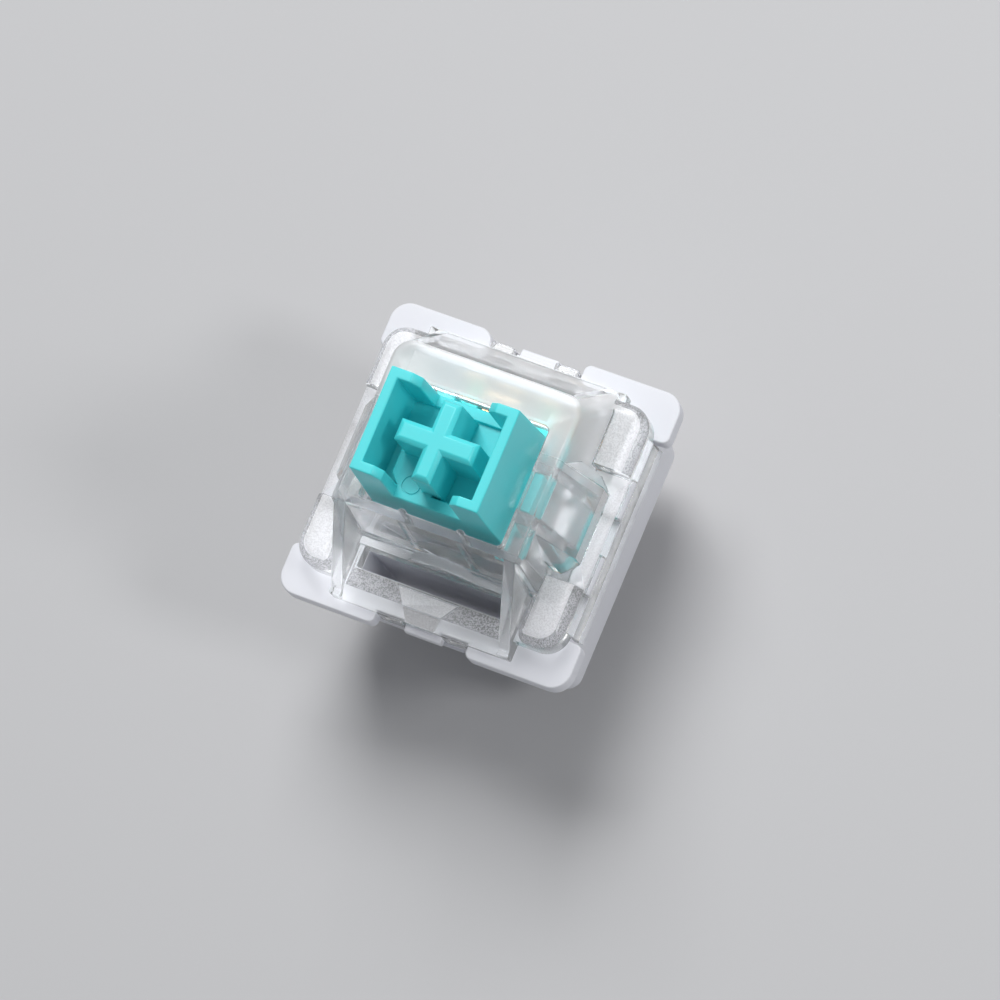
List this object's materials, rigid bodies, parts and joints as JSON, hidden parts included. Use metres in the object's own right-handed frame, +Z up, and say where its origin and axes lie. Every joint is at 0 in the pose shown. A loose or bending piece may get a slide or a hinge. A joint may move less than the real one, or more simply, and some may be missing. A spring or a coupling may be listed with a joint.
{
  "type": "mechanical keyboard switch",
  "caption": "Push switch for a keyboard key: clear upper case, milky lower case, sliding cross-topped stem, return spring and leaf contacts.",
  "frame": {"origin": "on the switch axis, where the centre post leaves the lower case: the circuit board's top", "axes": "+Z up along the stem's travel, +Y towards the contacts, -Y towards the lamp slot, +X to the right"},
  "size_m": [0.0156, 0.0156, 0.0188],
  "materials": {
    "clear_case": "clear and glossy, with finely frosted pads",
    "milky_case": "milky white, satin, slightly translucent",
    "stem_plastic": "teal, satin, slightly translucent",
    "spring_steel": "drawn wire",
    "contact_metal": "stamped bronze",
    "contact_gold": "gold plated"
  },
  "bodies": {
    "housing": {"bottom_housing": "milky_case", "top_housing": "clear_case", "return_spring": "spring_steel", "fixed_contact_terminal": "contact_metal", "fixed_contact_point": "contact_gold", "moving_contact_terminal": "contact_metal"},
    "stem": {"stem": "stem_plastic"},
    "leaf": {"moving_contact_leaf": "contact_metal", "moving_contact_point": "contact_gold"}
  },
  "joints": [
    {"name": "stem_press", "type": "slide", "parent": "housing", "child": "stem", "axis": [0, 0, -1], "range_m": [0, 0.004], "stiffness_N_per_m": 75, "springref_m": -0.004, "deforming": ["return_spring"]},
    {"name": "leaf_flex", "type": "hinge", "parent": "housing", "child": "leaf", "pos_m": [0, 0.00529, 0.002], "axis": [1, 0, 0], "range_deg": [0, 4.1]}
  ],
  "couplings": [
    {"joint": "leaf_flex", "follows": "stem_press", "rad_per_m": 17.8}
  ]
}
